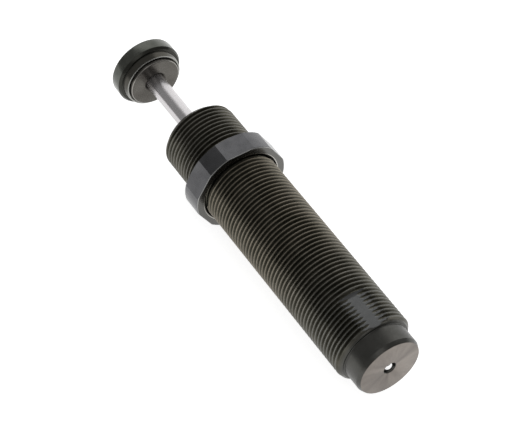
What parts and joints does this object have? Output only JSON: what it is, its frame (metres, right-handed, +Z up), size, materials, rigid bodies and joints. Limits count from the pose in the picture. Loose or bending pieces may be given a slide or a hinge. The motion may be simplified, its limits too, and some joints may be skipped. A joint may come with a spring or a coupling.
{
  "type": "industrial shock absorber",
  "caption": "Self-contained hydraulic shock absorber: threaded cylinder with lock nut, spring-returned rod, damping piston inside and a capped impact button.",
  "frame": {"origin": "centre of the flat rear face of the threaded body", "axes": "+Y along the stroke, from the rear face towards the impact cap; +Z up, square to a wrench flat and to a flat of the lock nut"},
  "size_m": [0.0315, 0.1401, 0.03],
  "materials": {
    "black_steel": "black oxide on steel, satin",
    "nut_steel": "dark zinc nickel on steel, satin",
    "bright_steel": "turned steel",
    "spring_steel": "drawn spring wire",
    "chrome_rod": "hard chrome, polished",
    "button_steel": "turned steel, oiled",
    "cap_polymer": "tough moulded polymer, slightly mottled",
    "bronze": "sintered bronze",
    "cast_gland": "turned brass",
    "seal_rubber": "nitrile rubber",
    "backup_plastic": "filled fluoropolymer",
    "foam": "closed-cell foam"
  },
  "bodies": {
    "housing": {"outer_body": "black_steel", "fill_ball": "bright_steel", "tube_base": "bright_steel", "base_seal": "seal_rubber", "pressure_tube": "bright_steel", "accumulator_foam": "foam", "rod_bearing": "cast_gland", "bearing_bush": "bronze", "rod_seal": "seal_rubber", "backup_ring": "backup_plastic", "gland_seal": "seal_rubber", "end_cap": "black_steel", "wiper": "seal_rubber", "retaining_ring": "spring_steel", "return_spring": "spring_steel"},
    "nut": {"lock_nut": "nut_steel"},
    "seat": {"spring_seat": "bright_steel"},
    "rod": {"piston_rod": "chrome_rod", "piston": "bright_steel", "piston_retainer": "bright_steel", "rod_button": "button_steel", "impact_cap": "cap_polymer"},
    "valve_ring": {"check_ring": "bronze"}
  },
  "joints": [
    {"name": "rod_slide", "type": "slide", "parent": "housing", "child": "seat", "axis": [0, -1, 0], "range_m": [0, 0.025], "stiffness_N_per_m": 720, "springref_m": -0.018, "deforming": ["return_spring"]},
    {"name": "rod_turn", "type": "hinge", "parent": "seat", "child": "rod", "pos_m": [0, 0.072, 0], "axis": [0, 1, 0], "continuous": true},
    {"name": "check_ring_float", "type": "slide", "parent": "rod", "child": "valve_ring", "axis": [0, 1, 0], "range_m": [-0.0004, 0.0004]},
    {"name": "nut_turn", "type": "hinge", "parent": "housing", "child": "nut", "pos_m": [0, 0.0839, 0], "axis": [0, 1, 0], "continuous": true}
  ]
}
